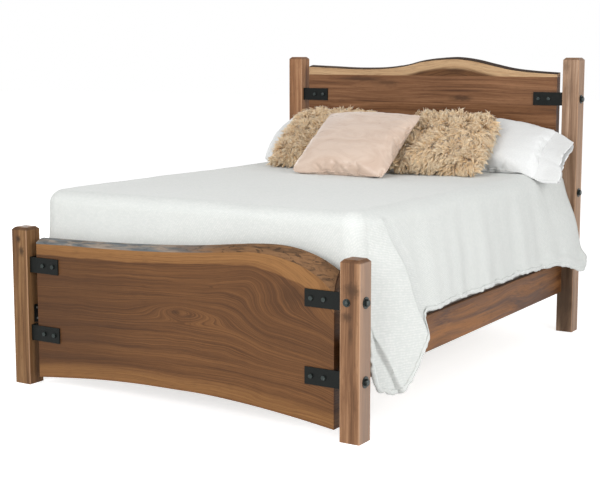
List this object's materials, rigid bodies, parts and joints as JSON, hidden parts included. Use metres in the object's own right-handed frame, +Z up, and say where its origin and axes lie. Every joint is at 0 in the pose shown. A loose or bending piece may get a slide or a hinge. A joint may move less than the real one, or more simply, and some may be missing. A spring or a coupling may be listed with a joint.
{
  "type": "bed",
  "caption": "Wooden bed with natural-edge slab headboard and footboard bolted to square posts by steel angle brackets, made up with mattress, coverlet, pillows and cushions",
  "frame": {"origin": "On the floor, in the middle of the rectangle that the posts stand on, under the middle centre leg.", "axes": "X to the right of someone who stands at the foot and looks at the bed, Y from the foot to the head, Z up."},
  "size_m": [1.8546, 2.3025, 1.389],
  "materials": {
    "walnut_posts": "planed walnut, oiled, eased edges",
    "walnut_slabs": "sanded and oiled walnut slab with its natural edge left on",
    "walnut_rails": "planed walnut, oiled",
    "pale_support_wood": "planed, unfinished",
    "blackened_steel_plate": "matte black over cut steel plate",
    "blackened_steel_fixings": "matte black",
    "zinc_screws": "zinc plated",
    "foundation_ticking": "plain woven cover",
    "mattress_ticking": "knitted cover",
    "white_coverlet": "matelasse cotton with fine diagonal ribs and a gathered hem",
    "white_pillowcase": "plain cotton",
    "tan_shag": "long glossy pile",
    "pink_satin": "satin with fine wrinkles"
  },
  "bodies": {
    "frame": {"centre_beam": "pale_support_wood", "centre_leg_foot": "pale_support_wood", "centre_leg_head": "pale_support_wood", "centre_leg_middle": "pale_support_wood", "cleat_left": "pale_support_wood", "cleat_right": "pale_support_wood", "cleat_screws": "zinc_screws", "foot_bracket_lower_left": "blackened_steel_plate", "foot_bracket_lower_right": "blackened_steel_plate", "foot_bracket_upper_left": "blackened_steel_plate", "foot_bracket_upper_right": "blackened_steel_plate", "foot_post_bolts": "blackened_steel_fixings", "foot_post_left": "walnut_posts", "foot_post_nuts": "blackened_steel_fixings", "foot_post_right": "walnut_posts", "foot_post_washers": "blackened_steel_fixings", "foot_slab_bolts": "blackened_steel_fixings", "footboard_slab": "walnut_slabs", "front_bolt": "blackened_steel_fixings", "front_washer": "blackened_steel_fixings", "head_bracket_lower_left": "blackened_steel_plate", "head_bracket_lower_right": "blackened_steel_plate", "head_bracket_upper_left": "blackened_steel_plate", "head_bracket_upper_right": "blackened_steel_plate", "head_post_bolts": "blackened_steel_fixings", "head_post_left": "walnut_posts", "head_post_nuts": "blackened_steel_fixings", "head_post_right": "walnut_posts", "head_post_washers": "blackened_steel_fixings", "head_slab_bolts": "blackened_steel_fixings", "headboard_bottom_board": "walnut_slabs", "headboard_lower_board": "walnut_slabs", "headboard_middle_board": "walnut_slabs", "headboard_top_board": "walnut_slabs", "leg_screws": "zinc_screws", "rail_plate_foot_left": "blackened_steel_plate", "rail_plate_foot_right": "blackened_steel_plate", "rail_plate_head_left": "blackened_steel_plate", "rail_plate_head_right": "blackened_steel_plate", "rail_plate_screws": "zinc_screws", "side_rail_left": "walnut_rails", "side_rail_right": "walnut_rails", "slat_1": "pale_support_wood", "slat_2": "pale_support_wood", "slat_3": "pale_support_wood", "slat_4": "pale_support_wood", "slat_5": "pale_support_wood", "slat_6": "pale_support_wood", "slat_7": "pale_support_wood", "slat_screws": "zinc_screws"},
    "foundation": {"foundation": "foundation_ticking"},
    "bedding": {"mattress": "mattress_ticking", "coverlet": "white_coverlet"},
    "sleeping_pillow_left": {"sleeping_pillow_left": "white_pillowcase"},
    "sleeping_pillow_right": {"sleeping_pillow_right": "white_pillowcase"},
    "shag_cushion_left": {"shag_cushion_left": "tan_shag"},
    "shag_cushion_right": {"shag_cushion_right": "tan_shag"},
    "satin_cushion": {"satin_cushion": "pink_satin"}
  },
  "joints": [
    {"name": "foundation_lift", "type": "slide", "parent": "frame", "child": "foundation", "axis": [0, 0, 1], "range_m": [0, 1.15]},
    {"name": "bedding_lift", "type": "slide", "parent": "foundation", "child": "bedding", "axis": [0, 0, 1], "range_m": [0, 1.3]},
    {"name": "sleeping_pillow_left_off", "type": "slide", "parent": "bedding", "child": "sleeping_pillow_left", "axis": [-0.9998, 0, 0.02], "range_m": [0, 0.9]},
    {"name": "sleeping_pillow_right_off", "type": "slide", "parent": "bedding", "child": "sleeping_pillow_right", "axis": [0.9998, 0, 0.02], "range_m": [0, 0.9]},
    {"name": "shag_cushion_left_off", "type": "slide", "parent": "bedding", "child": "shag_cushion_left", "axis": [-0.9942, -0.0597, 0.0895], "range_m": [0, 0.9]},
    {"name": "shag_cushion_right_off", "type": "slide", "parent": "bedding", "child": "shag_cushion_right", "axis": [0.9942, -0.0597, 0.0895], "range_m": [0, 0.9]},
    {"name": "satin_cushion_off", "type": "slide", "parent": "bedding", "child": "satin_cushion", "axis": [0, -0.5446, 0.8387], "range_m": [0, 0.9]}
  ]
}
